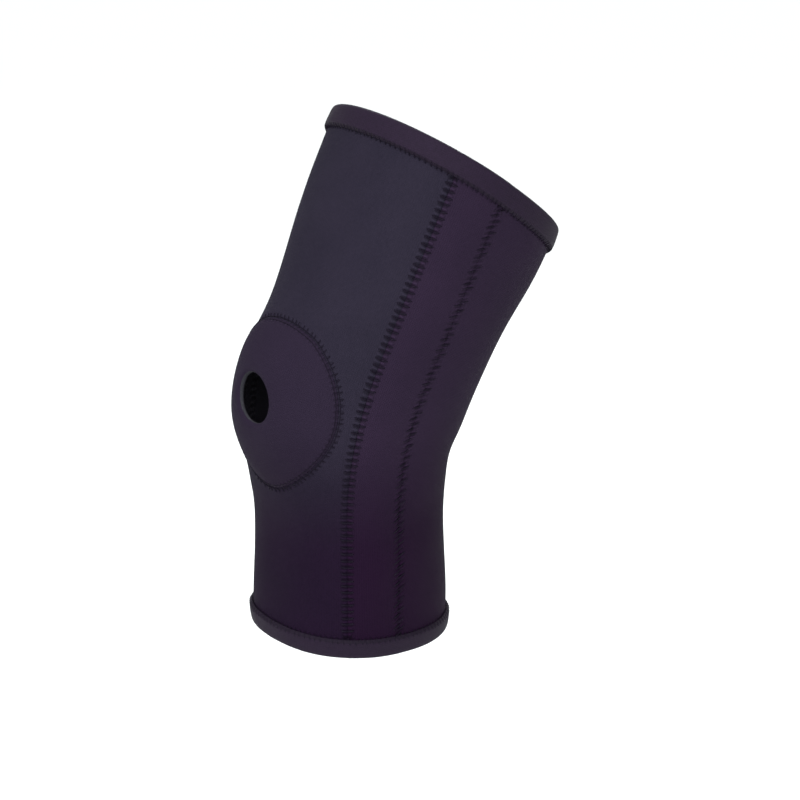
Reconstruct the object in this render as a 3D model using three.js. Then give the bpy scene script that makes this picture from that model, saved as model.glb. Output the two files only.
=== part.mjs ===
// Open-patella knee sleeve of neoprene, in the form it has on a bent knee.
// Millimetres. +Z runs up along the calf half, the kneecap opening faces -Y, and the origin is the
// middle of the sleeve's bend, on its centreline.
import * as THREE from "three";

// Sizes along the sleeve, measured on its centreline
const thighLength = 158; // from the bend's middle up to the upper rim
const calfLength = 126; // from the bend's middle down to the lower rim
const kneeFlexion = THREE.MathUtils.degToRad(27.8);
const bendLength = 77; // stretch of the centreline over which the sleeve bends
const thighRimTilt = 11.5; // how far the upper rim rises at the front and drops at the back
const calfRimTilt = 3.9;

// Outer width and depth of the sleeve at three levels
const levels = {
  calf: { width: 107, depth: 113 },
  knee: { width: 118, depth: 129 },
  thigh: { width: 139, depth: 142 },
};
const squareness = 2.2; // 2 is an ellipse, more is squarer

// Cloth and clearances
const wallThickness = 3;
const clearance = 0.4; // between pieces that are sewn edge to edge or face to face
const edgeRound = 2; // width over which a cut edge rounds down
const edgeDrop = 0.9; // how far the outer face drops at a sewn edge

// Kneecap patch and its opening
const patchWidth = 108;
const patchHeight = 103;
const patchPoint = 0.15; // how much of its width the patch loses towards its lower end
const patchCentre = 7; // above the bend's middle, on the centreline
const patchRise = 2.2; // how far the patch stands proud of the panels
const openingWidth = 32.7;
const openingHeight = 27.1;
const openingTurn = THREE.MathUtils.degToRad(-26); // its wide axis rises towards -X
const openingLift = 2; // above the patch's centre
const openingShift = 5.2; // from the patch's centre towards -X

// Front panel and the channels beside it
const panelMargin = 12; // cloth between the patch and the seam beside it
const channelWidth = 31.8;
const channelCrown = 0.8; // how far a channel bulges between its seams

// Soft creases of the bend
const creaseDepth = 2.5;
const creaseHeight = 9; // half its height at the middle of its depth, along the sleeve

// Folded tape over each rim
const tapeThickness = 1.2;
const tapeCrown = 0.6; // how far the folded tape puffs between the fold and its stitching
const thighTape = { outerWidth: 13.5, innerWidth: 11.5 };
const calfTape = { outerWidth: 12, innerWidth: 10 };
const tapeRows = [0.15, 0.5]; // where its puffed face has corners, as shares from stitching to fold

// Facets: rows from rim to rim, and columns across each panel
const rows = 22;
const columns = { front: 16, channel: 4, back: 18 };
const slopeStep = 0.5; // stretch of the face over which its slope is taken

// Sections from the lower rim to the upper one. "at" is a share of the calf length below the
// bend's middle and of the thigh length above it. Width, front and back are shares of the width
// and the depth at the named level.
const sections = [
  { at: -1.0, level: "calf", width: 1.0, front: 0.46, back: 0.54 },
  { at: -0.8, level: "calf", width: 1.01, front: 0.453, back: 0.533 },
  { at: -0.6, level: "calf", width: 1.03, front: 0.436, back: 0.514 },
  { at: -0.4, level: "calf", width: 1.055, front: 0.431, back: 0.503 },
  { at: -0.2, level: "calf", width: 1.08, front: 0.491, back: 0.5 },
  { at: 0.0, level: "knee", width: 1.0, front: 0.543, back: 0.456 },
  { at: 0.15, level: "knee", width: 1.02, front: 0.564, back: 0.473 },
  { at: 0.3, level: "knee", width: 1.045, front: 0.528, back: 0.468 },
  { at: 0.5, level: "thigh", width: 0.92, front: 0.487, back: 0.43 },
  { at: 0.75, level: "thigh", width: 0.96, front: 0.509, back: 0.486 },
  { at: 1.0, level: "thigh", width: 1.0, front: 0.506, back: 0.493 },
];

// Angle of the seam beside the front panel, as a share of its angle at the kneecap, from the
// lower rim (at 0) to the upper one (at 1).
const frontSeam = [
  { at: 0.0, turn: 1.045 },
  { at: 0.5, turn: 1.02 },
  { at: 1.0, turn: 1.0 },
];

// Creases across the back and the sides. "at" is a share of the calf length, turn and spread are
// shares of half a turn from the front of the sleeve to its back, and the rest are shares of the
// crease's depth and height.
const creases = [
  { at: -0.05, turn: 1.0, spread: 0.24, depth: 1.0, height: 1.0 },
  { at: -0.34, turn: 0.58, spread: 0.1, depth: 0.6, height: 0.75 },
  { at: -0.42, turn: 0.95, spread: 0.2, depth: 0.5, height: 1.3 },
];

// The patch from the edge of its opening (at 0) to its sewn border (at 1). Rise is a share of
// patchRise, and lining is how far the inner face draws back, as a share of the wall.
const patchRings = [
  { at: 0.0, rise: 0.1, lining: 0.4 },
  { at: 0.06, rise: 0.75, lining: 0.15 },
  { at: 0.2, rise: 1.0, lining: 0 },
  { at: 0.55, rise: 1.0, lining: 0 },
  { at: 0.93, rise: 0.85, lining: 0 },
  { at: 1.0, rise: 0.1, lining: 0 },
];
const frontRings = 5; // steps across the front panel, between its two rounded edges
const foldSteps = 4; // facets round the tape's fold

const mix = (a, b, share) => a + (b - a) * share;

// A smooth curve through the rows of a table: cubic pieces with slopes taken from their neighbours.
function smoothly(table, value, at) {
  const last = table.length - 1;
  const slopeBetween = (i) =>
    (value(table[i + 1]) - value(table[i])) / (table[i + 1].at - table[i].at);
  const slopeAt = (i) => {
    if (i === 0) return slopeBetween(0);
    if (i === last) return slopeBetween(last - 1);
    const before = table[i].at - table[i - 1].at;
    const after = table[i + 1].at - table[i].at;
    return (slopeBetween(i - 1) * after + slopeBetween(i) * before) / (before + after);
  };
  let i = 0;
  while (i < last - 1 && at > table[i + 1].at) i += 1;
  const step = table[i + 1].at - table[i].at;
  const t = (at - table[i].at) / step;
  return (
    (2 * t ** 3 - 3 * t ** 2 + 1) * value(table[i]) +
    (t ** 3 - 2 * t ** 2 + t) * step * slopeAt(i) +
    (3 * t ** 2 - 2 * t ** 3) * value(table[i + 1]) +
    (t ** 3 - t ** 2) * step * slopeAt(i + 1)
  );
}

// The section table with its stations and half sizes in millimetres.
const sleeveSections = sections.map((row) => ({
  at: row.at * (row.at < 0 ? calfLength : thighLength),
  side: (row.width * levels[row.level].width) / 2,
  front: row.front * levels[row.level].depth,
  back: row.back * levels[row.level].depth,
}));
const sectionAt = (station) => ({
  side: smoothly(sleeveSections, (row) => row.side, station),
  front: smoothly(sleeveSections, (row) => row.front, station),
  back: smoothly(sleeveSections, (row) => row.back, station),
});

// The sleeve's centreline: straight along the calf half, an arc at the knee, then straight along
// the thigh half.
const bendRadius = bendLength / kneeFlexion;
function centreline(station) {
  const along = THREE.MathUtils.clamp(station, -bendLength / 2, bendLength / 2);
  const lean = (along / bendLength + 0.5) * kneeFlexion;
  const up = new THREE.Vector3(0, Math.sin(lean), Math.cos(lean));
  const back = new THREE.Vector3(0, Math.cos(lean), -Math.sin(lean));
  const onArc = (angle) =>
    new THREE.Vector3(0, -Math.cos(angle), Math.sin(angle)).multiplyScalar(bendRadius);
  const centre = onArc(lean)
    .sub(onArc(kneeFlexion / 2))
    .addScaledVector(up, station - along);
  return { centre, up, back };
}

// How far the creases draw the cloth in. The angle may be more than half a turn, or negative.
function creaseAt(station, angle) {
  const fromFront = Math.acos(Math.cos(angle)) / Math.PI;
  return creases.reduce((sum, crease) => {
    const along = (station - crease.at * calfLength) / (crease.height * creaseHeight);
    const round = (fromFront - crease.turn) / crease.spread;
    return sum + crease.depth * creaseDepth * Math.exp(-Math.LN2 * (along ** 2 + round ** 2));
  }, 0);
}

// Radius of a section at an angle from the front, with each half its own depth.
function sectionRadius(section, angle) {
  const depth = Math.cos(angle) > 0 ? section.front : section.back;
  const acrossShare = Math.abs(Math.sin(angle)) / section.side;
  const depthShare = Math.abs(Math.cos(angle)) / depth;
  return (acrossShare ** squareness + depthShare ** squareness) ** (-1 / squareness);
}

// A point of the panels' outer face: station on the centreline, and angle from the front towards
// +X.
function facePoint(station, angle) {
  const { centre, back } = centreline(station);
  const radius = sectionRadius(sectionAt(station), angle) - creaseAt(station, angle);
  const point = centre.addScaledVector(back, -radius * Math.cos(angle));
  point.x += radius * Math.sin(angle);
  return point;
}

// A point of the cloth, at a depth inwards from that face. A negative depth is outside it.
function sleevePoint({ station, angle }, depth) {
  const turn = slopeStep / sectionAt(station).side;
  const along = facePoint(station + slopeStep, angle).sub(facePoint(station - slopeStep, angle));
  const round = facePoint(station, angle + turn).sub(facePoint(station, angle - turn));
  const inwards = along.cross(round).normalize();
  return facePoint(station, angle).addScaledVector(inwards, depth);
}

// Stations of the two rims at an angle, and of a share of the way between them. The panels end
// inside the folded tape, where its fold begins.
const foldReach = wallThickness / 2 + clearance + tapeThickness;
const upperRim = (angle) => thighLength + thighRimTilt * Math.cos(angle);
const lowerRim = (angle) => -calfLength + calfRimTilt * Math.cos(angle);
const stationBetween = (angle, share, inset = 0) =>
  mix(lowerRim(angle) + foldReach + inset, upperRim(angle) - foldReach - inset, share);

// Angle of the seam in front of a channel, and of the one behind it.
const kneeFront = sectionAt(patchCentre).front;
const seamAtKneecap = (patchWidth / 2 + panelMargin) / kneeFront;
function seamAngles(share) {
  const radius = sectionAt(mix(-calfLength, thighLength, share)).side;
  const front = smoothly(frontSeam, (row) => row.turn, share) * seamAtKneecap;
  return { front, rear: front + channelWidth / radius, radius };
}

// Joins a list of equal closed loops of points into one closed body. An open list is capped at
// both ends, where each loop's second half runs back beside its first.
function loft(loops, closed) {
  const count = loops[0].length;
  const corner = (row, i) => (row % loops.length) * count + (i % count);
  const faces = [];
  for (let row = 0; row < loops.length - (closed ? 0 : 1); row += 1) {
    for (let i = 0; i < count; i += 1) {
      const [a, b] = [corner(row, i), corner(row, i + 1)];
      const [c, d] = [corner(row + 1, i), corner(row + 1, i + 1)];
      faces.push(a, b, c, b, d, c);
    }
  }
  for (let i = 0; !closed && i < count / 2 - 1; i += 1) {
    const near = [i, i + 1, count - 1 - i, count - 2 - i];
    const [a, b, c, d] = near.map((n) => corner(0, n));
    faces.push(a, c, b, b, c, d);
    const [e, f, g, h] = near.map((n) => corner(loops.length - 1, n));
    faces.push(e, f, g, f, h, g);
  }
  const geometry = new THREE.BufferGeometry().setFromPoints(loops.flat());
  geometry.setIndex(faces);
  geometry.computeVertexNormals();
  return geometry;
}

// A panel between two edge angles, given for each share of the height. The outer face drops at
// both sewn edges, and may bulge between them where no tape covers it.
function sidePanel(edges, steps, crown = 0) {
  const loops = [];
  for (let row = 0; row <= rows; row += 1) {
    const share = row / rows;
    const { from, to, radius } = edges(share);
    const trim = clearance / 2 / radius;
    const round = edgeRound / radius;
    const rowsFromRim = Math.min(row, rows - row);
    const bulge = crown * THREE.MathUtils.clamp((rowsFromRim - 1) / 2, 0, 1);
    const across = [{ angle: from + trim, depth: edgeDrop }];
    for (let i = 0; i <= steps; i += 1) {
      const along = i / steps;
      across.push({
        angle: mix(from + trim + round, to - trim - round, along),
        depth: -bulge * Math.sin(Math.PI * along),
      });
    }
    across.push({ angle: to - trim, depth: edgeDrop });
    const place = (angle) => ({ station: stationBetween(angle, share), angle });
    const outer = across.map(({ angle, depth }) => sleevePoint(place(angle), depth));
    const inner = across.map(({ angle }) => sleevePoint(place(angle), wallThickness));
    loops.push([...outer, ...inner.reverse()]);
  }
  return loft(loops, false);
}

// The front panel's outline, anticlockwise from its lower +X corner, moved in from the seams and
// from the rims.
function frontOutline(inset, rimInset = inset) {
  const outline = [];
  const side = (share, sign) => {
    const { front, radius } = seamAngles(share);
    const angle = sign * (front - (inset + clearance / 2) / radius);
    return { station: stationBetween(angle, share, rimInset), angle };
  };
  for (let row = 0; row < rows; row += 1) outline.push(side(row / rows, 1));
  for (let i = 0; i < columns.front; i += 1) {
    const angle = side(1, 1).angle * (1 - (2 * i) / columns.front);
    outline.push({ station: stationBetween(angle, 1, rimInset), angle });
  }
  for (let row = rows; row > 0; row -= 1) outline.push(side(row / rows, -1));
  for (let i = 0; i < columns.front; i += 1) {
    const angle = side(0, 1).angle * ((2 * i) / columns.front - 1);
    outline.push({ station: stationBetween(angle, 0, rimInset), angle });
  }
  return outline;
}

// Places round the kneecap, given across it and up from the patch's centre. The front of the
// bend is longer than the centreline, so heights there are divided by that stretch.
const frontStretch = 1 + kneeFront / bendRadius;
const kneecapPlace = (across, up) => ({
  station: patchCentre + up / frontStretch,
  angle: across / kneeFront,
});

// The patch's sewn border, grown by a width: an oval that narrows towards its lower end.
const patchBorder = (grow) => (turn) => {
  const lower = Math.max(0, -Math.sin(turn));
  const halfWidth = (patchWidth / 2) * (1 - patchPoint * lower ** 2) + grow;
  return kneecapPlace(halfWidth * Math.cos(turn), (patchHeight / 2 + grow) * Math.sin(turn));
};

// The edge of its opening, an oval whose wide axis is turned.
function openingEdge(turn) {
  const across = (openingWidth / 2) * Math.cos(turn - openingTurn);
  const up = (openingHeight / 2) * Math.sin(turn - openingTurn);
  return kneecapPlace(
    across * Math.cos(openingTurn) - up * Math.sin(openingTurn) - openingShift,
    across * Math.sin(openingTurn) + up * Math.cos(openingTurn) + openingLift,
  );
}

// The turn round the patch of each ray that leads to a point of the front panel's outline: half
// way between its own direction and an even spacing.
const rayTurns = frontOutline(0).map((place, i, outline) => {
  const rise = (place.station - patchCentre) * frontStretch;
  const own = Math.atan2(rise, place.angle * kneeFront);
  const start = Math.atan2(
    (outline[0].station - patchCentre) * frontStretch,
    outline[0].angle * kneeFront,
  );
  const even = start + (2 * Math.PI * i) / outline.length;
  const nearest = own + 2 * Math.PI * Math.round((even - own) / (2 * Math.PI));
  return (nearest + even) / 2;
});

// The front panel: rays from the patch's border out to its outline, each a closed loop. Under the
// tapes its facets run along the rims, as theirs do.
function frontPanel() {
  const border = patchBorder(clearance / 2);
  const roundedBorder = patchBorder(clearance / 2 + edgeRound);
  const outline = frontOutline(0);
  const roundedOutline = frontOutline(edgeRound);
  const tapeEdge = frontOutline(2 * edgeRound, thighTape.outerWidth);
  const between = (a, b, share) => ({
    station: mix(a.station, b.station, share),
    angle: mix(a.angle, b.angle, share),
  });
  return loft(
    rayTurns.map((turn, i) => {
      const ray = [{ place: border(turn), depth: edgeDrop }];
      for (let step = 0; step <= frontRings; step += 1) {
        const share = step / frontRings;
        ray.push({ place: between(roundedBorder(turn), tapeEdge[i], share), depth: 0 });
      }
      ray.push({ place: roundedOutline[i], depth: 0 });
      ray.push({ place: outline[i], depth: edgeDrop });
      const outer = ray.map(({ place, depth }) => sleevePoint(place, depth));
      const inner = ray.map(({ place }) => sleevePoint(place, wallThickness));
      return [...outer, ...inner.reverse()];
    }),
    true,
  );
}

// The kneecap patch: rays from the edge of its opening out to its sewn border.
function kneecapPatch() {
  const border = patchBorder(-clearance / 2);
  return loft(
    rayTurns.map((turn) => {
      const place = (ring) => ({
        station: mix(openingEdge(turn).station, border(turn).station, ring.at),
        angle: mix(openingEdge(turn).angle, border(turn).angle, ring.at),
      });
      const outer = patchRings.map((ring) =>
        sleevePoint(place(ring), -ring.rise * patchRise),
      );
      const inner = patchRings.map((ring) =>
        sleevePoint(place(ring), wallThickness * (1 - ring.lining)),
      );
      return [...outer, ...inner.reverse()];
    }),
    true,
  );
}

// The angles of the panels' columns at a rim, once round, so that the tape's facets match them.
function rimAngles(share) {
  const { front, rear, radius } = seamAngles(share);
  const trim = clearance / 2 / radius;
  const round = edgeRound / radius;
  const spread = (from, to, steps) =>
    Array.from({ length: steps + 1 }, (_, i) => mix(from, to, i / steps));
  const half = front - trim;
  const channel = [front + trim, ...spread(front + trim + round, rear - trim - round, columns.channel)];
  const mirrored = channel.map((angle) => 2 * Math.PI - angle).reverse();
  const backFrom = rear + trim;
  return [
    ...spread(-half, half, columns.front),
    ...channel,
    rear - trim,
    backFrom,
    ...spread(backFrom + round, 2 * Math.PI - backFrom - round, columns.back),
    2 * Math.PI - backFrom,
    2 * Math.PI - rear + trim,
    ...mirrored,
  ];
}

// The folded tape's section: distance in from the rim, and depth from the panels' outer face.
function tapeSection({ outerWidth, innerWidth }) {
  const middle = wallThickness / 2;
  const innerReach = foldReach - tapeThickness;
  const fold = (reach, turn) => ({
    inset: foldReach - reach * Math.sin(turn),
    depth: middle - reach * Math.cos(turn),
  });
  const outside = [
    { inset: outerWidth, depth: middle - innerReach },
    { inset: outerWidth, depth: middle - innerReach - tapeThickness / 2 },
  ];
  for (const share of tapeRows) {
    outside.push({
      inset: mix(outerWidth, foldReach, share),
      depth: middle - foldReach - tapeCrown * Math.sin(Math.PI * Math.sqrt(share)),
    });
  }
  const over = [];
  const under = [];
  for (let i = 0; i <= foldSteps; i += 1) {
    over.push(fold(foldReach, (Math.PI * i) / foldSteps));
    under.push(fold(innerReach, Math.PI * (1 - i / foldSteps)));
  }
  const inside = [
    { inset: innerWidth, depth: middle + foldReach },
    { inset: innerWidth, depth: middle + innerReach },
  ];
  return [...outside, ...over, ...inside, ...under];
}

// A folded tape round a rim. "inwards" is 1 where the sleeve lies above the rim, and -1 below.
function rimTape(tape, rim, share, inwards) {
  const section = tapeSection(tape);
  const loops = rimAngles(share).map((angle) =>
    section.map(({ inset, depth }) =>
      sleevePoint({ station: rim(angle) + inwards * inset, angle }, depth),
    ),
  );
  return loft(inwards < 0 ? loops.reverse() : loops, true);
}

const neoprene = { color: 0x2b2935, roughness: 0.82, metalness: 0 };
const binding = { color: 0x3a3142, roughness: 0.78, metalness: 0 };

const sleeve = new THREE.Group();
function add(name, geometry, finish) {
  const mesh = new THREE.Mesh(geometry, new THREE.MeshStandardMaterial(finish));
  mesh.name = name;
  sleeve.add(mesh);
}

add("front_panel", frontPanel(), neoprene);
add("kneecap_patch", kneecapPatch(), neoprene);
const channelEdges = (share) => {
  const { front, rear, radius } = seamAngles(share);
  return { from: front, to: rear, radius };
};
const mirroredEdges = (share) => {
  const { from, to, radius } = channelEdges(share);
  return { from: -to, to: -from, radius };
};
const backEdges = (share) => {
  const { to, radius } = channelEdges(share);
  return { from: to, to: 2 * Math.PI - to, radius };
};
add("outer_channel", sidePanel(channelEdges, columns.channel, channelCrown), neoprene);
add("inner_channel", sidePanel(mirroredEdges, columns.channel, channelCrown), neoprene);
add("back_panel", sidePanel(backEdges, columns.back), neoprene);
add("thigh_binding", rimTape(thighTape, upperRim, 1, -1), binding);
add("calf_binding", rimTape(calfTape, lowerRim, 0, 1), binding);

export default sleeve;
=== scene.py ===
import math

import bmesh
import bpy
import numpy as np
from mathutils import Matrix, Vector, kdtree, noise
from mathutils.bvhtree import BVHTree


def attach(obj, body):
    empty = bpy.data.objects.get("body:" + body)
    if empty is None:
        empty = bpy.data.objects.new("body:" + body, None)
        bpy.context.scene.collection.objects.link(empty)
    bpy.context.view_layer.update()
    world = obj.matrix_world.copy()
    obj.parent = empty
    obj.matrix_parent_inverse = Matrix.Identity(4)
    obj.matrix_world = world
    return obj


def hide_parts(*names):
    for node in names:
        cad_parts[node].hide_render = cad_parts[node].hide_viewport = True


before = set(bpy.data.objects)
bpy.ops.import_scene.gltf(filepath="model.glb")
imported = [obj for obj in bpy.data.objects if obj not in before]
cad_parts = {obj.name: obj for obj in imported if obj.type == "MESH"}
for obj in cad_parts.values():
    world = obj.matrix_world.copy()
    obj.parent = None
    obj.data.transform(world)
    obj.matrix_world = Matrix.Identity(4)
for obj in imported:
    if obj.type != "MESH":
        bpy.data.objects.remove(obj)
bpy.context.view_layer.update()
print("frame loaded:", len(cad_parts), "nodes")

mm = 0.001

# Angles round the sleeve are turned into lengths, and back, at about its middle radius
middleRadius = 60 * mm

# Keeps a length of nothing from being divided by
tiny = 1e-9


# Places on the sleeve: a station along its centreline and an angle from the front towards +X.
# The centreline runs straight up the calf half, in an arc at the knee, and straight up the thigh half.
bend = {
    "flexion": math.radians(27.8),
    "length": 77 * mm,
}
bendRadius = bend["length"] / bend["flexion"]
bendCentre = (0.0, bendRadius * math.cos(bend["flexion"] / 2), -bendRadius * math.sin(bend["flexion"] / 2))


def sleevePlaces(points):
    points = np.asarray(points, dtype=float).reshape(-1, 3)
    y, z = points[:, 1] - bendCentre[1], points[:, 2] - bendCentre[2]
    lean = np.clip(np.arctan2(z, -y), 0, bend["flexion"])
    fromArc = np.column_stack((y + bendRadius * np.cos(lean), z - bendRadius * np.sin(lean)))
    beyond = fromArc[:, 0] * np.sin(lean) + fromArc[:, 1] * np.cos(lean)
    depth = fromArc[:, 1] * np.sin(lean) - fromArc[:, 0] * np.cos(lean)
    station = (lean / bend["flexion"] - 0.5) * bend["length"] + beyond
    return station, np.arctan2(points[:, 0], depth), np.hypot(points[:, 0], depth)


def sleevePoint(station, angle, radius):
    along = min(max(station, -bend["length"] / 2), bend["length"] / 2)
    lean = (along / bend["length"] + 0.5) * bend["flexion"]
    up = Vector((0, math.sin(lean), math.cos(lean)))
    back = Vector((0, math.cos(lean), -math.sin(lean)))
    centre = Vector(bendCentre) - back * bendRadius + up * (station - along)
    return centre + Vector((radius * math.sin(angle), 0, 0)) - back * (radius * math.cos(angle))


def outwardsAt(station, angle):
    return np.array([sleevePoint(s, a, 1) - sleevePoint(s, a, 0) for s, a in zip(station, angle)])


# Small helpers for meshes
def pick(piece):
    bpy.ops.object.select_all(action="DESELECT")
    piece.select_set(True)
    bpy.context.view_layer.objects.active = piece


def corners(mesh):
    flat = np.empty(len(mesh.vertices) * 3, dtype=np.float32)
    mesh.vertices.foreach_get("co", flat)
    return flat.reshape(-1, 3).astype(float)


def normals(mesh):
    flat = np.empty(len(mesh.vertices) * 3, dtype=np.float32)
    mesh.vertex_normals.foreach_get("vector", flat)
    return flat.reshape(-1, 3).astype(float)


def moveCorners(mesh, points):
    mesh.vertices.foreach_set("co", np.asarray(points, dtype=np.float32).ravel())
    mesh.update()


def finder(points):
    tree = kdtree.KDTree(len(points))
    for i, point in enumerate(points):
        tree.insert(point, i)
    tree.balance()
    return tree


def keepNumbers(mesh, name, numbers):
    attribute = mesh.attributes.new(name, "FLOAT", "POINT")
    attribute.data.foreach_set("value", np.asarray(numbers, dtype=np.float32))


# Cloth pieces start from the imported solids, with the triangles paired into quads again
cloth = {
    "frontCloth": {"node": "front_panel", "slot": "neoprene"},
    "outerStrip": {"node": "outer_channel", "slot": "neoprene"},
    "innerStrip": {"node": "inner_channel", "slot": "neoprene"},
    "backCloth": {"node": "back_panel", "slot": "neoprene"},
    "kneecapPad": {"node": "kneecap_patch", "slot": "patch"},
    "thighTape": {"node": "thigh_binding", "slot": "binding"},
    "calfTape": {"node": "calf_binding", "slot": "binding"},
}
panels = ["frontCloth", "outerStrip", "innerStrip", "backCloth", "kneecapPad"]
tapes = ["thighTape", "calfTape"]
sameCorner = 0.01 * mm


def clothFromNode(name):
    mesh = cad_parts[cloth[name]["node"]].data.copy()
    piece = bpy.data.objects.new(name, mesh)
    bpy.context.scene.collection.objects.link(piece)
    mesh.materials.clear()
    pick(piece)
    bpy.ops.object.mode_set(mode="EDIT")
    bpy.ops.mesh.select_all(action="SELECT")
    bpy.ops.mesh.customdata_custom_splitnormals_clear()
    bpy.ops.mesh.remove_doubles(threshold=sameCorner)
    bpy.ops.mesh.tris_convert_to_quads(
        face_threshold=math.pi, shape_threshold=math.pi, topology_influence=2.0)
    bpy.ops.object.mode_set(mode="OBJECT")
    return piece


# The sewn edges of neighbouring panels meet in the middle of the gap between them, and press into
# each other a little, so that no slit shows between them.
sewn = {
    "gap": 1.4 * mm,
    "press": 0.1 * mm,
}


def closeSeams(pieces):
    before = {name: corners(piece.data) for name, piece in pieces.items()}
    for name, piece in pieces.items():
        others = finder(np.vstack([before[other] for other in before if other != name]))
        points = before[name].copy()
        for i, point in enumerate(before[name]):
            near, index, distance = others.find(point)
            if distance < sewn["gap"]:
                towards = (near - Vector(point)).normalized()
                points[i] = (Vector(point) + near) / 2 + towards * sewn["press"]
        moveCorners(piece.data, points)


# Subdivision pulls a surface in from its corners, so these are first moved out by as much
rounding = {
    "levels": 3,
    "mostMovedOut": 0.8 * mm,
}


def subdivideCloth(piece, levels):
    start = corners(piece.data)
    trial = piece.modifiers.new("roundness", "SUBSURF")
    trial.levels = trial.render_levels = 1
    seen = piece.evaluated_get(bpy.context.evaluated_depsgraph_get())
    rounded = seen.to_mesh()
    drawnIn = start - corners(rounded)[: len(start)]
    seen.to_mesh_clear()
    length = np.linalg.norm(drawnIn, axis=1, keepdims=True)
    drawnIn *= np.minimum(1, rounding["mostMovedOut"] / np.maximum(length, tiny))
    moveCorners(piece.data, start + drawnIn)
    trial.levels = trial.render_levels = levels
    pick(piece)
    bpy.ops.object.modifier_apply(modifier=trial.name)


# Cloth is never quite even: long soft waves everywhere, and finer ones in the puffed tapes
softness = {
    "waveLength": 42 * mm,
    "waveHeight": 0.45 * mm,
    "tapeWaveLength": 9 * mm,
    "tapeWaveHeight": 0.16 * mm,
}


def soften(piece, waveLength, waveHeight):
    points = corners(piece.data)
    station, angle, radius = sleevePlaces(points)
    # the wall's two faces move together, so the wave is read on a surface that they share
    lift = [
        noise.noise(Vector(point) * (middleRadius / r) / waveLength) for point, r in zip(points, radius)]
    moveCorners(piece.data, points + outwardsAt(station, angle) * np.array(lift)[:, None] * waveHeight)


# The thin pad behind the patch's jersey swells between its sewn border and the opening's edge. Its
# faces are so small that only a high pressure moves them. Its sides, where the cloth faces outwards
# by less than sideFacing, are held down, and so, less and less, is what lies within heldEdge of them.
padFilling = {
    "pressure": 800,
    "frames": 20,
    "heldEdge": 7 * mm,
    "mostSwell": 0.9 * mm,
    "sideFacing": 0.6,
}


def swellPad(piece):
    mesh = piece.data
    start = corners(mesh)
    station, angle, radius = sleevePlaces(start)
    facing = (normals(mesh) * outwardsAt(station, angle)).sum(axis=1)
    sides = finder(start[np.abs(facing) < padFilling["sideFacing"]])
    held = piece.vertex_groups.new(name="heldDown")
    for i, point in enumerate(start):
        loose = min(1, sides.find(point)[2] / padFilling["heldEdge"]) if facing[i] > 0 else 0
        held.add([i], 1 - loose, "REPLACE")
    filling = piece.modifiers.new("filling", "CLOTH")
    filling.settings.use_pressure = True
    filling.settings.uniform_pressure_force = padFilling["pressure"]
    filling.settings.vertex_group_mass = held.name
    filling.settings.effector_weights.gravity = 0
    filling.collision_settings.use_collision = False
    filling.point_cache.frame_start, filling.point_cache.frame_end = 1, padFilling["frames"]
    for frameNumber in range(1, padFilling["frames"] + 1):
        bpy.context.scene.frame_set(frameNumber)
    pick(piece)
    bpy.ops.object.modifier_apply(modifier=filling.name)
    swell = corners(mesh) - start
    length = np.linalg.norm(swell, axis=1, keepdims=True)
    print("the pad's filling moves it by up to", round(float(length.max()) / mm, 2), "mm")
    swell *= np.minimum(1, padFilling["mostSwell"] / np.maximum(length, tiny))
    moveCorners(mesh, start + swell)
    piece.vertex_groups.clear()
    bpy.context.scene.frame_set(1)


pieces = {name: clothFromNode(name) for name in cloth}
cadCorners = {name: corners(piece.data) for name, piece in pieces.items()}
closeSeams({name: pieces[name] for name in panels})
print("cloth copied and its seams closed")
for name, piece in pieces.items():
    if name == "kneecapPad":
        subdivideCloth(piece, rounding["levels"] - 1)
        swellPad(piece)
        subdivideCloth(piece, 1)
    else:
        subdivideCloth(piece, rounding["levels"])
    if name in tapes:
        soften(piece, softness["tapeWaveLength"], softness["tapeWaveHeight"])
    soften(piece, softness["waveLength"], softness["waveHeight"])
    pick(piece)
    bpy.ops.object.shade_smooth()
print("cloth rounded:", sum(len(piece.data.polygons) for piece in pieces.values()), "faces")


# The surface of all the cloth, as found from outside
def clothSurface():
    joined = bmesh.new()
    for piece in pieces.values():
        joined.from_mesh(piece.data)
    surface = BVHTree.FromBMesh(joined)
    joined.free()
    return surface


surface = clothSurface()

# A radius round the centreline that lies outside all the cloth
beyondCloth = 110 * mm


def surfaceAt(station, angle):
    start, inside = sleevePoint(station, angle, beyondCloth), sleevePoint(station, angle, 0)
    point, normal, index, distance = surface.ray_cast(start, (inside - start).normalized())
    return point


# A seam is a run of even steps on the surface, each with its place along the seam, its direction
# and the direction across it
seamStep = 0.5 * mm


def seamFrom(points, closed):
    knots = [Vector(point) for point in points]
    count = len(knots)
    dense = []
    for i in range(count if closed else count - 1):
        around = range(i - 1, i + 3)
        a, b, c, d = (knots[n % count if closed else min(max(n, 0), count - 1)] for n in around)
        steps = max(2, round((c - b).length / seamStep))
        for k in range(steps):
            t = k / steps
            dense.append(
                0.5 * (2 * b + (c - a) * t + (2 * a - 5 * b + 4 * c - d) * t ** 2
                       + (3 * b - a - 3 * c + d) * t ** 3))
    if not closed:
        dense.append(knots[-1])
    seam, travelled = [], 0.0
    last = len(dense) - 1
    for i, point in enumerate(dense):
        onCloth, normal, index, distance = surface.find_nearest(point)
        ahead = dense[(i + 2) % len(dense)] if closed else dense[min(i + 2, last)]
        behind = dense[i - 2] if closed else dense[max(i - 2, 0)]
        if i:
            travelled += (point - dense[i - 1]).length
        station, angle, radius = sleevePlaces(point)
        outwards = sleevePoint(station[0], angle[0], 1) - sleevePoint(station[0], angle[0], 0)
        along = (ahead - behind).normalized()
        across = along.cross(outwards).normalized()
        seam.append({
            "point": onCloth, "at": travelled, "along": along, "across": across,
            "outwards": across.cross(along).normalized(),
        })
    return seam


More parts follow.
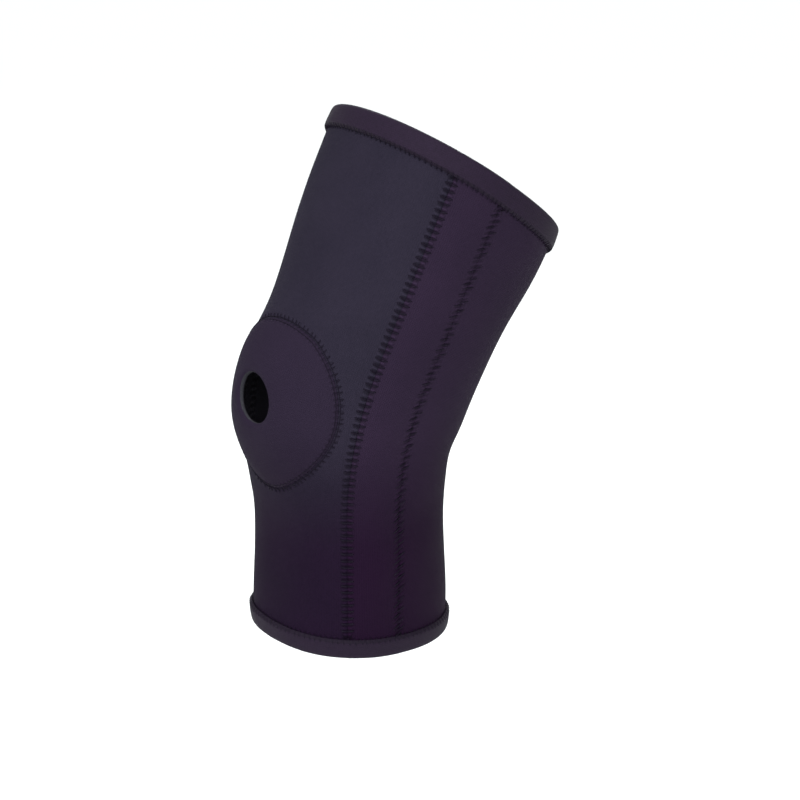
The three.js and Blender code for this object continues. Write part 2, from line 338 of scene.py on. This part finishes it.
# The rims, as stations that rise and fall once round, and the tapes' sewn edges beside them
clearOfTape = 1 * mm
rimPoints = 120
rims = {
    "thighTape": {"station": 158 * mm, "tilt": 11.5 * mm, "inwards": -1, "width": 13.5 * mm},
    "calfTape": {"station": -126 * mm, "tilt": 3.9 * mm, "inwards": 1, "width": 12 * mm},
}


def tapeEdge(name, angle):
    rim = rims[name]
    return rim["station"] + rim["tilt"] * math.cos(angle) + rim["inwards"] * rim["width"]


def clearOfTapes(seam):
    station, angle, radius = sleevePlaces([step["point"] for step in seam])
    return [
        step for step, s, a in zip(seam, station, angle)
        if tapeEdge("calfTape", a) + clearOfTape < s < tapeEdge("thighTape", a) - clearOfTape]


# A wall's sewn edge has two rows of corners, and the seam follows the outer one
def sewnEdge(nodeName, otherName):
    own = cadCorners[nodeName]
    others = finder(cadCorners[otherName])
    near = np.array([p for p in own if others.find(p)[2] < sewn["gap"]])
    station, angle, radius = sleevePlaces(near)
    pairs = finder(near)
    outer = [i for i, p in enumerate(near) if radius[i] >= radius[pairs.find_n(p, 2)[1][1]]]
    return near[outer], station[outer], angle[outer]


def seamUp(nodeName, otherName):
    points, station, angle = sewnEdge(nodeName, otherName)
    return clearOfTapes(seamFrom(points[np.argsort(station)], closed=False))


def seamRound(nodeName, otherName):
    points, station, angle = sewnEdge(nodeName, otherName)
    middle = (station.min() + station.max()) / 2
    order = np.argsort(np.arctan2(station - middle, angle * middleRadius))
    return seamFrom(points[order], closed=True)


def seamAtRim(name):
    angles = [2 * math.pi * i / rimPoints for i in range(rimPoints)]
    return seamFrom([surfaceAt(tapeEdge(name, angle), angle) for angle in angles], closed=True)


seams = {
    "outerFront": {"path": seamUp("frontCloth", "outerStrip"), "kind": "frontSeam"},
    "innerFront": {"path": seamUp("frontCloth", "innerStrip"), "kind": "frontSeam"},
    "outerRear": {"path": seamUp("outerStrip", "backCloth"), "kind": "rearSeam"},
    "innerRear": {"path": seamUp("innerStrip", "backCloth"), "kind": "rearSeam"},
    "padBorder": {"path": seamRound("frontCloth", "kneecapPad"), "kind": "borderSeam"},
    "thighEdge": {"path": seamAtRim("thighTape"), "kind": "tapeSeam"},
    "calfEdge": {"path": seamAtRim("calfTape"), "kind": "tapeSeam"},
}
for name, seam in seams.items():
    print("seam", name, "is", round(seam["path"][-1]["at"] / mm), "mm long")


# Stitches: strokes of thread between two distances in mm across the seam. Along is where a stroke's
# middle lies, and lean how far it moves along the seam, both as shares of the pitch. Beats is the
# number of grooves in a pitch, depth is how deep these are beside the deepest, and thickness is how
# thick and high the thread is beside the full thread.
stitching = {
    "frontSeam": {"pitch": 4.0 * mm, "beats": 1, "depth": 1.0, "thickness": 1.0, "strokes": [
        {"from": 0.2, "to": 3.1, "lean": 0.12, "along": 0.5},
        {"from": -0.2, "to": -3.1, "lean": 0.12, "along": 0.5}]},
    "rearSeam": {"pitch": 6.8 * mm, "beats": 2, "depth": 0.6, "thickness": 0.8, "strokes": [
        {"from": -3.2, "to": 0.9, "lean": 0.25, "along": 0.25},
        {"from": -0.9, "to": 3.2, "lean": 0.25, "along": 0.75}]},
    "borderSeam": {"pitch": 3.4 * mm, "beats": 1, "depth": 0.35, "thickness": 0.7, "strokes": [
        {"from": 1.0, "to": 2.7, "lean": 0.15, "along": 0.5},
        {"from": -1.4, "to": -1.4, "lean": 0.85, "along": 0.5},
        {"from": 0.9, "to": 0.9, "lean": 0.85, "along": 0.0}]},
    "tapeSeam": {"pitch": 3.4 * mm, "beats": 1, "depth": 0.35, "thickness": 0.7, "strokes": [
        {"from": -0.6, "to": 1.4, "lean": 0.3, "along": 0.5}]},
}
thread = {
    "radius": 0.4 * mm,
    "span": 2.6 * mm,
    "rise": 0.3 * mm,
    "sunkEnds": 0.1 * mm,
    "sides": 5,
    "stepsPerTurn": 28,
    "unevenness": 0.3,
}

# A stitch's ends are looked for on the cloth from above it, and no deeper than this
stitchSearch = {
    "above": 4 * mm,
    "deepest": 8 * mm,
}


# One stitch is an arc of thread, cut from a ring, whose closed ends sink into the cloth
def modelStitch():
    arcRadius = (thread["span"] ** 2 / 4 + thread["rise"] ** 2) / (2 * thread["rise"])
    bpy.ops.object.select_all(action="DESELECT")
    bpy.ops.mesh.primitive_torus_add(
        major_radius=arcRadius, minor_radius=thread["radius"],
        major_segments=thread["stepsPerTurn"], minor_segments=thread["sides"],
        rotation=(math.pi / 2, 0, 0))
    stitch = bpy.context.object
    bpy.ops.object.transform_apply(location=True, rotation=True, scale=True)
    bpy.ops.object.mode_set(mode="EDIT")
    bpy.ops.mesh.select_all(action="SELECT")
    cut = arcRadius - thread["rise"] - thread["sunkEnds"]
    bpy.ops.mesh.bisect(plane_co=(0, 0, cut), plane_no=(0, 0, 1), clear_inner=True)
    bpy.ops.mesh.select_all(action="SELECT")
    bpy.ops.mesh.fill_holes(sides=0)
    bpy.ops.transform.translate(value=(0, 0, thread["rise"] - arcRadius))
    bpy.ops.mesh.normals_make_consistent(inside=False)
    bpy.ops.object.mode_set(mode="OBJECT")
    bpy.ops.object.shade_smooth()
    return stitch


def onSurface(step, across, along):
    aside = step["point"] + step["across"] * across + step["along"] * along
    above = aside + step["outwards"] * stitchSearch["above"]
    point, normal, index, distance = surface.ray_cast(above, -step["outwards"])
    if point is None or distance > stitchSearch["deepest"]:
        point = surface.find_nearest(aside)[0]
    return point


# Each stroke is a copy of that stitch, stretched between the two places where it enters the cloth
def sew(name, seam, unit):
    kind, path = stitching[seam["kind"]], seam["path"]
    stations = np.array([step["at"] for step in path])
    first, last = (math.ceil(stations[end] / kind["pitch"] - 0.5) for end in (0, -1))
    joined = bmesh.new()
    for n in range(first, last):
        for stroke in kind["strokes"]:
            uneven = thread["unevenness"] * noise.noise(Vector((n * 0.7, stroke["along"], len(name))))
            at = (n + stroke["along"] + uneven) * kind["pitch"]
            step = path[min(int(np.searchsorted(stations, at)), len(path) - 1)]
            halfLean = stroke["lean"] * kind["pitch"] / 2
            start = onSurface(step, stroke["from"] * mm, -halfLean)
            end = onSurface(step, stroke["to"] * mm, halfLean)
            reach = end - start
            side = step["outwards"].cross(reach).normalized()
            up = reach.cross(side).normalized()
            side, up = side * kind["thickness"], up * kind["thickness"]
            place = Matrix.Identity(4)
            for column, axis in enumerate((reach / thread["span"], side, up, (start + end) / 2)):
                for row in range(3):
                    place[row][column] = axis[row]
            copy = unit.data.copy()
            copy.transform(place)
            joined.from_mesh(copy)
            bpy.data.meshes.remove(copy)
    mesh = bpy.data.meshes.new(name)
    joined.to_mesh(mesh)
    joined.free()
    piece = bpy.data.objects.new(name, mesh)
    bpy.context.scene.collection.objects.link(piece)
    for face in mesh.polygons:
        face.use_smooth = True
    return piece


unitStitch = modelStitch()
threads = {}
for name, seam in seams.items():
    threads[name + "Stitches"] = sew(name + "Stitches", seam, unitStitch)
bpy.data.objects.remove(unitStitch)
print("stitches sewn:", sum(len(piece.data.polygons) for piece in threads.values()), "faces")


# How each point of the cloth lies to the nearest seam: its distance across in half lengths of a
# stitch, its place along in pitches, and how deep the thread pulls in. Its flat place is its UV.
farFromSeam = 9.0


def markSeams(piece, names):
    steps, kinds = [], []
    for seam in (seams[name] for name in names):
        steps += seam["path"]
        kinds += [stitching[seam["kind"]]] * len(seam["path"])
    tree = finder([step["point"] for step in steps])
    points = corners(piece.data)
    across, along, depth = (np.zeros(len(points)) for _ in range(3))
    for i, point in enumerate(points):
        near, index, distance = tree.find(point)
        step, kind = steps[index], kinds[index]
        offset = Vector(point) - step["point"]
        aside = offset.dot(step["across"]) / mm
        place = (step["at"] + offset.dot(step["along"])) / kind["pitch"]
        first = kind["strokes"][0]
        if kind["beats"] > 1:
            place -= first["lean"] * aside / (first["to"] - first["from"])
        halfLength = max(abs(stroke["to"]) for stroke in kind["strokes"])
        across[i] = min(farFromSeam, abs(aside) / halfLength)
        along[i] = place * kind["beats"]
        depth[i] = kind["depth"]
    keepNumbers(piece.data, "stitchAcross", across)
    keepNumbers(piece.data, "stitchAlong", along)
    keepNumbers(piece.data, "stitchDepth", depth)


def layFlat(piece):
    mesh = piece.data
    station, angle, radius = sleevePlaces(corners(mesh))
    flat = mesh.uv_layers.new(name="clothFlat")
    loopCorner = np.empty(len(mesh.loops), dtype=np.int32)
    mesh.loops.foreach_get("vertex_index", loopCorner)
    loopStart = np.empty(len(mesh.polygons), dtype=np.int32)
    mesh.polygons.foreach_get("loop_start", loopStart)
    loopCount = np.empty(len(mesh.polygons), dtype=np.int32)
    mesh.polygons.foreach_get("loop_total", loopCount)
    # a face across the line where the angle starts again takes all its angles from one side of it
    firstAngle = np.repeat(angle[loopCorner[loopStart]], loopCount)
    turned = angle[loopCorner]
    turned = turned + 2 * np.pi * np.round((firstAngle - turned) / (2 * np.pi))
    around = turned * middleRadius
    places = np.column_stack((around, station[loopCorner])).astype(np.float32)
    flat.data.foreach_set("uv", places.ravel())


for name, piece in pieces.items():
    tapeSeam = {"thighTape": ["thighEdge"], "calfTape": ["calfEdge"]}
    markSeams(piece, tapeSeam.get(name, seams))
    layFlat(piece)
print("seams marked on the cloth")


# Materials
def toLinear(hexColour):
    parts = [int(hexColour[i:i + 2], 16) / 255 for i in (1, 3, 5)]
    linear = [p / 12.92 if p <= 0.04045 else ((p + 0.055) / 1.055) ** 2.4 for p in parts]
    return (*linear, 1.0)


# A Mix node has several sockets of each name, so those for colours go by these numbers
mixShare, mixFirst, mixSecond, mixResult = 0, 6, 7, 2
bumpStrength = 0.8


def addNode(material, kind, inputs=(), **settings):
    node = material.node_tree.nodes.new(kind)
    for name, value in settings.items():
        setattr(node, name, value)
    for socket, value in dict(inputs).items():
        if isinstance(value, bpy.types.Node):
            value = value.outputs[0]
        if isinstance(value, bpy.types.NodeSocket):
            material.node_tree.links.new(value, node.inputs[socket])
        else:
            node.inputs[socket].default_value = value
    return node


def newMaterial(name):
    material = bpy.data.materials.new(name)
    material.use_nodes = True
    material.node_tree.nodes.clear()
    return material


def finishMaterial(material, shader):
    addNode(material, "ShaderNodeOutputMaterial", {"Surface": shader})
    return material


# What the thread does to the cloth under it: a groove at each stitch, and cloth that puffs up
# between them, fading out about the stitches' ends, in half lengths of a stitch
relief = {
    "fullWithin": 0.75,
    "goneBeyond": 1.2,
}


def seamRelief(material):
    across = addNode(material, "ShaderNodeAttribute", attribute_name="stitchAcross").outputs["Fac"]
    along = addNode(material, "ShaderNodeAttribute", attribute_name="stitchAlong").outputs["Fac"]
    depth = addNode(material, "ShaderNodeAttribute", attribute_name="stitchDepth").outputs["Fac"]
    fading = addNode(
        material, "ShaderNodeMapRange",
        {"Value": across, "From Min": relief["fullWithin"], "From Max": relief["goneBeyond"],
         "To Min": 1.0, "To Max": 0.0},
        interpolation_type="SMOOTHSTEP")
    reach = addNode(material, "ShaderNodeMath", {0: fading, 1: depth}, operation="MULTIPLY")
    turn = addNode(material, "ShaderNodeMath", {0: along, 1: 2 * math.pi}, operation="MULTIPLY")
    beat = addNode(material, "ShaderNodeMath", {0: turn}, operation="COSINE")
    puff = addNode(material, "ShaderNodeMath", {0: beat, 1: reach}, operation="MULTIPLY")
    return puff, reach


# Nylon jersey bonded to neoprene foam: a matt knitted face whose wales and courses are about
# 0.5 mm, drawn at about 1 mm so that the knit shows, with a faint nylon sheen at grazing angles
jersey = {
    "wale": 1.1 * mm,
    "course": 0.9 * mm,
    "loopHeight": 0.5,
    "knitHeight": 0.13 * mm,
    "puffHeight": 1.0 * mm,
    # how much the puffs between stitches are lightened and the grooves darkened: a painted highlight and
    # painted shade
    "stitchHighlightAndShade": 0.32,
    "fibreShare": 0.4,
    "cloud": 38 * mm,
    # painted shade for the calf half: the colour it is multiplied by, in full below one height and gone
    # above another
    "calfPaintedShade": "#c78ac6",
    "calfShadeFullBelow": -65 * mm,
    "calfShadeGoneAbove": 25 * mm,
    "fibre": 1.6 * mm,
    "roughness": 0.85,
    "sheen": 0.01,
    "sheenRoughness": 0.5,
    "sheenColour": "#8577ae",
    "specular": 0.072,
}


def jerseyMaterial(name, darkColour, lightColour):
    material = newMaterial(name)
    uv = addNode(material, "ShaderNodeUVMap", uv_map="clothFlat")
    parts = addNode(material, "ShaderNodeSeparateXYZ", {0: uv})
    wale = addNode(material, "ShaderNodeMath", {0: parts.outputs[0], 1: jersey["wale"]}, operation="DIVIDE")
    course = addNode(
        material, "ShaderNodeMath", {0: parts.outputs[1], 1: jersey["course"]}, operation="DIVIDE")
    inWale = addNode(material, "ShaderNodeMath", {0: wale}, operation="FRACT")
    # each loop of the knit is a V: its two legs slant up from the middle of its wale
    fromMiddle = addNode(material, "ShaderNodeMath", {0: inWale, 1: 0.5}, operation="SUBTRACT")
    slant = addNode(material, "ShaderNodeMath", {0: fromMiddle}, operation="ABSOLUTE")
    slanted = addNode(material, "ShaderNodeMath", {0: course, 1: slant}, operation="ADD")
    loopTurn = addNode(material, "ShaderNodeMath", {0: slanted, 1: 2 * math.pi}, operation="MULTIPLY")
    loops = addNode(material, "ShaderNodeMath", {0: loopTurn}, operation="SINE")
    ribTurn = addNode(material, "ShaderNodeMath", {0: inWale, 1: math.pi}, operation="MULTIPLY")
    ribs = addNode(material, "ShaderNodeMath", {0: ribTurn}, operation="SINE")
    knit = addNode(
        material, "ShaderNodeMath", {0: loops, 1: jersey["loopHeight"], 2: ribs},
        operation="MULTIPLY_ADD")
    puff, reach = seamRelief(material)
    height = addNode(
        material, "ShaderNodeMath", {0: knit, 1: jersey["knitHeight"] / jersey["puffHeight"], 2: puff},
        operation="MULTIPLY_ADD")

    where = addNode(material, "ShaderNodeTexCoord").outputs["Object"]
    cloud = addNode(
        material, "ShaderNodeTexNoise", {"Vector": where, "Scale": 1 / jersey["cloud"], "Detail": 3.0})
    fibre = addNode(
        material, "ShaderNodeTexNoise", {"Vector": where, "Scale": 1 / jersey["fibre"], "Detail": 2.0})
    share = addNode(
        material, "ShaderNodeMix", {"Factor": jersey["fibreShare"], "A": cloud, "B": fibre})
    colour = addNode(
        material, "ShaderNodeMix",
        {mixShare: share, mixFirst: toLinear(darkColour), mixSecond: toLinear(lightColour)},
        data_type="RGBA")
    # painted shade: the calf half is made darker and more purple towards the bottom, standing in for the
    # shade it lies in below the lit knee and thigh
    upDown = addNode(material, "ShaderNodeSeparateXYZ", {0: where})
    calfShadeShare = addNode(
        material, "ShaderNodeMapRange",
        {"Value": upDown.outputs["Z"], "From Min": jersey["calfShadeFullBelow"],
         "From Max": jersey["calfShadeGoneAbove"], "To Min": 1.0, "To Max": 0.0},
        interpolation_type="SMOOTHSTEP")
    calfShadedColour = addNode(
        material, "ShaderNodeMix",
        {mixShare: calfShadeShare, mixFirst: colour.outputs[mixResult], mixSecond: toLinear(jersey["calfPaintedShade"])},
        data_type="RGBA", blend_type="MULTIPLY")
    # painted highlight and painted shade: the puffed cloth between stitches is lightened, as if catching
    # the light, and the cloth in a stitch's groove is darkened, as if lying in shade
    shade = addNode(
        material, "ShaderNodeMath", {0: puff, 1: jersey["stitchHighlightAndShade"], 2: 1.0}, operation="MULTIPLY_ADD")
    shaded = addNode(
        material, "ShaderNodeMix",
        {mixShare: 1.0, mixFirst: calfShadedColour.outputs[mixResult], mixSecond: shade},
        data_type="RGBA", blend_type="MULTIPLY")
    bump = addNode(
        material, "ShaderNodeBump",
        {"Strength": bumpStrength, "Distance": jersey["puffHeight"], "Height": height})
    shader = addNode(material, "ShaderNodeBsdfPrincipled", {
        "Base Color": shaded.outputs[mixResult], "Normal": bump, "Roughness": jersey["roughness"],
        "Sheen Weight": jersey["sheen"], "Sheen Roughness": jersey["sheenRoughness"],
        "Sheen Tint": toLinear(jersey["sheenColour"]), "Specular IOR Level": jersey["specular"]})
    return finishMaterial(material, shader)


# Knitted polyester binding, folded over the rim: fine ribs along the tape, a little shinier
binding = {
    "rib": 1.2 * mm,
    "ribHeight": 0.04 * mm,
    "puffHeight": 0.45 * mm,
    "fibre": 2.4 * mm,
    "wear": 0.5,
    "roughness": 0.75,
    "sheen": 0.015,
    "specular": 0.1,
    "colour": "#231729",
    # painted shade: the colour the tape turns in the stitches' grooves along its sewn edge
    "grooveShadeColour": "#120d16",
}


def bindingMaterial():
    material = newMaterial("knittedPolyesterBinding")
    uv = addNode(material, "ShaderNodeUVMap", uv_map="clothFlat")
    parts = addNode(material, "ShaderNodeSeparateXYZ", {0: uv})
    turns = [
        addNode(
            material, "ShaderNodeMath", {0: part, 1: 2 * math.pi / binding["rib"]}, operation="MULTIPLY")
        for part in parts.outputs[:2]]
    ribs, rows = (addNode(material, "ShaderNodeMath", {0: turn}, operation="SINE") for turn in turns)
    weave = addNode(material, "ShaderNodeMath", {0: ribs, 1: rows}, operation="ADD")
    puff, reach = seamRelief(material)
    height = addNode(
        material, "ShaderNodeMath", {0: weave, 1: binding["ribHeight"] / binding["puffHeight"], 2: puff},
        operation="MULTIPLY_ADD")
    where = addNode(material, "ShaderNodeTexCoord").outputs["Object"]
    fibre = addNode(
        material, "ShaderNodeTexNoise", {"Vector": where, "Scale": 1 / binding["fibre"], "Detail": 3.0})
    worn = addNode(material, "ShaderNodeMath", {0: fibre, 1: binding["wear"]}, operation="MULTIPLY")
    # painted shade: along its sewn edge the tape is darkened towards the groove shade colour where the
    # stitches lie, and worn fibres darken it at random too
    share = addNode(material, "ShaderNodeMath", {0: worn, 1: reach}, operation="ADD", use_clamp=True)
    colour = addNode(
        material, "ShaderNodeMix",
        {mixShare: share, mixFirst: toLinear(binding["colour"]),
         mixSecond: toLinear(binding["grooveShadeColour"])},
        data_type="RGBA")
    bump = addNode(
        material, "ShaderNodeBump",
        {"Strength": bumpStrength, "Distance": binding["puffHeight"], "Height": height})
    shader = addNode(material, "ShaderNodeBsdfPrincipled", {
        "Base Color": colour.outputs[mixResult], "Normal": bump, "Roughness": binding["roughness"],
        "Sheen Weight": binding["sheen"], "Specular IOR Level": binding["specular"]})
    return finishMaterial(material, shader)


# Bonded nylon sewing thread: a dull purplish black that sinks into the cloth's grooves
sewingNylon = {
    "twist": 0.7 * mm,
    "roughness": 0.6,
    "specular": 0.05,
    "darkColour": "#120d17",
    "lightColour": "#1c1523",
}


def threadMaterial():
    material = newMaterial("bondedNylonThread")
    where = addNode(material, "ShaderNodeTexCoord").outputs["Object"]
    twist = addNode(
        material, "ShaderNodeTexNoise", {"Vector": where, "Scale": 1 / sewingNylon["twist"]})
    colour = addNode(
        material, "ShaderNodeMix",
        {mixShare: twist, mixFirst: toLinear(sewingNylon["darkColour"]),
         mixSecond: toLinear(sewingNylon["lightColour"])},
        data_type="RGBA")
    shader = addNode(material, "ShaderNodeBsdfPrincipled", {
        "Base Color": colour.outputs[mixResult], "Roughness": sewingNylon["roughness"],
        "Specular IOR Level": sewingNylon["specular"]})
    return finishMaterial(material, shader)


# The cut edge of the neoprene foam between its two jerseys: fine closed cells, dull grey
foam = {
    "cell": 0.6 * mm,
    "cellHeight": 0.2 * mm,
    "cellStrength": 0.5,
    "roughness": 0.9,
    "specular": 0.15,
    "darkColour": "#1c1b20",
    "lightColour": "#36343b",
}


def foamMaterial():
    material = newMaterial("neopreneFoamEdge")
    where = addNode(material, "ShaderNodeTexCoord").outputs["Object"]
    cells = addNode(material, "ShaderNodeTexVoronoi", {"Vector": where, "Scale": 1 / foam["cell"]})
    colour = addNode(
        material, "ShaderNodeMix",
        {mixShare: cells, mixFirst: toLinear(foam["darkColour"]),
         mixSecond: toLinear(foam["lightColour"])},
        data_type="RGBA")
    bump = addNode(
        material, "ShaderNodeBump",
        {"Strength": foam["cellStrength"], "Distance": foam["cellHeight"], "Height": cells})
    shader = addNode(material, "ShaderNodeBsdfPrincipled", {
        "Base Color": colour.outputs[mixResult], "Normal": bump, "Roughness": foam["roughness"],
        "Specular IOR Level": foam["specular"]})
    return finishMaterial(material, shader)


frontJersey = jerseyMaterial("nylonJerseyFront", "#181521", "#2a2432")
patchJersey = jerseyMaterial("nylonJerseyPatch", "#1d1524", "#261d2d")
sideJersey = jerseyMaterial("nylonJerseySide", "#1e1525", "#2a1d30")
lining = jerseyMaterial("nylonJerseyLining", "#18161c", "#232127")
foamEdge = foamMaterial()
tapeKnit = bindingMaterial()
sewingThread = threadMaterial()


# The opening's middle on the patch, and how far round it the cut edge of the foam may lie
openingPlace = {
    "station": 8.5 * mm,
    "aside": -5.2 * mm,
    "within": 30 * mm,
}

# A face's turn is 1 where it faces straight out of the sleeve and -1 where it faces straight in
facings = {
    "liningBelow": -0.5,
    "edgeWithin": 0.55,
}


def dress(piece, outside, edge=None):
    mesh = piece.data
    for material in (outside, lining, edge):
        if material:
            mesh.materials.append(material)
    centres, facing = (np.empty(len(mesh.polygons) * 3, dtype=np.float32) for _ in range(2))
    mesh.polygons.foreach_get("center", centres)
    mesh.polygons.foreach_get("normal", facing)
    station, angle, radius = sleevePlaces(centres)
    turn = (facing.reshape(-1, 3) * outwardsAt(station, angle)).sum(axis=1)
    index = np.where(turn < facings["liningBelow"], 1, 0)
    if edge:
        fromOpening = np.hypot(station - openingPlace["station"], angle * radius - openingPlace["aside"])
        cutEdge = (np.abs(turn) < facings["edgeWithin"]) & (fromOpening < openingPlace["within"])
        index = np.where(cutEdge, 2, index)
    mesh.polygons.foreach_set("material_index", index.astype(np.int32))
    mesh.update()


dress(pieces["frontCloth"], frontJersey)
dress(pieces["kneecapPad"], patchJersey, foamEdge)
for name in ("outerStrip", "innerStrip", "backCloth"):
    dress(pieces[name], sideJersey)
for name in tapes:
    pieces[name].data.materials.append(tapeKnit)
for piece in threads.values():
    piece.data.materials.append(sewingThread)
print("materials made")


# Everything rides on one body, the root, held up at the knee.
for name, piece in pieces.items():
    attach(piece, "root")
    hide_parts(cloth[name]["node"])
for name, piece in threads.items():
    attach(piece, "root")


# Plain pale floor, far enough below that the shadow stays out of the picture
studio = {
    "floorHeight": -0.50,
    "floorSize": 60,
    "floorColour": "#f6f6f7",
    "floorRoughness": 0.9,
    "wallColour": "#f3f5f8",
    "horizonStrength": 1.05,
    "overheadStrength": 0.25,
    "horizonHeight": 0.2,
}
bpy.ops.object.select_all(action="DESELECT")
bpy.ops.mesh.primitive_plane_add(size=studio["floorSize"], location=(0, 0, studio["floorHeight"]))
floor = bpy.context.object
floor.name = "studioFloor"
paint = newMaterial("mattWhitePaint")
floor.data.materials.append(finishMaterial(paint, addNode(
    paint, "ShaderNodeBsdfPrincipled",
    {"Base Color": toLinear(studio["floorColour"]), "Roughness": studio["floorRoughness"]})))

# White walls round the studio, and a dimmer ceiling
world = bpy.data.worlds.new("studioWalls")
world.use_nodes = True
background = world.node_tree.nodes["Background"]
background.inputs["Color"].default_value = toLinear(studio["wallColour"])
sky = addNode(world, "ShaderNodeTexCoord").outputs["Generated"]
skyParts = addNode(world, "ShaderNodeSeparateXYZ", {0: sky})
fade = addNode(world, "ShaderNodeMapRange", {
    "Value": skyParts.outputs["Z"],
    "From Min": 0.0, "From Max": studio["horizonHeight"],
    "To Min": studio["horizonStrength"], "To Max": studio["overheadStrength"]},
    interpolation_type="SMOOTHSTEP")
world.node_tree.links.new(fade.outputs[0], background.inputs["Strength"])
bpy.context.scene.world = world
bpy.context.scene.view_settings.view_transform = "Standard"

# The overhead softbox is far away, so that it lights the floor evenly
lights = {
    "overheadSoftbox": {
        "kind": "SUN", "from": (0.2, -0.6, 2.2), "size": 0.9, "power": 3.0, "colour": "#f8fcfa"},
    "cameraSideSoftbox": {
        "kind": "AREA", "from": (0.78, -0.72, 0.62), "size": 0.6, "power": 13, "colour": "#f2fcf6"},
    "leftFill": {
        "kind": "AREA", "from": (-0.9, -2.0, 0.9), "size": 1.0, "power": 1, "colour": "#eef4ff"},
    "rearSoftbox": {
        "kind": "AREA", "from": (-0.9, 1.1, 0.8), "size": 0.8, "power": 14, "colour": "#f4f8fa"},
}
for name, light in lights.items():
    bpy.ops.object.light_add(type=light["kind"], location=light["from"])
    lamp = bpy.context.object
    lamp.name = name
    if light["kind"] == "SUN":
        lamp.data.angle = light["size"]
    else:
        lamp.data.size = light["size"]
    lamp.data.energy = light["power"]
    lamp.data.color = toLinear(light["colour"])[:3]
    lamp.rotation_euler = (-Vector(light["from"])).to_track_quat("-Z", "Y").to_euler()

# The photograph's view: where the camera stands, and where the model's origin falls in its frame
photo = {
    "azimuth": math.radians(52.69),
    "elevation": math.radians(20.56),
    "roll": math.radians(0.15),
    "distance": 1.6,
    "focalPixels": 2758.6,
    "originPixel": (351.28, 423.45),
    "imageSize": 800,
    "sensorWidth": 36,
}
around, above = photo["azimuth"], photo["elevation"]
toCamera = Vector((
    math.sin(around) * math.cos(above), -math.cos(around) * math.cos(above), math.sin(above)))
turn = (-toCamera).to_track_quat("-Z", "Y").to_matrix() @ Matrix.Rotation(photo["roll"], 3, "Z")
offCentre = [(photo["imageSize"] / 2 - pixel) / photo["focalPixels"] for pixel in photo["originPixel"]]
aim = turn @ Matrix.Rotation(-math.atan(offCentre[0]), 3, "Y") @ Matrix.Rotation(
    -math.atan(offCentre[1]), 3, "X")
camera = bpy.data.objects.new("photoCamera", bpy.data.cameras.new("photoCamera"))
bpy.context.scene.collection.objects.link(camera)
camera.data.sensor_width = photo["sensorWidth"]
camera.data.lens = photo["sensorWidth"] * photo["focalPixels"] / photo["imageSize"]
camera.matrix_world = Matrix.Translation(toCamera * photo["distance"]) @ aim.to_4x4()
bpy.context.scene.camera = camera
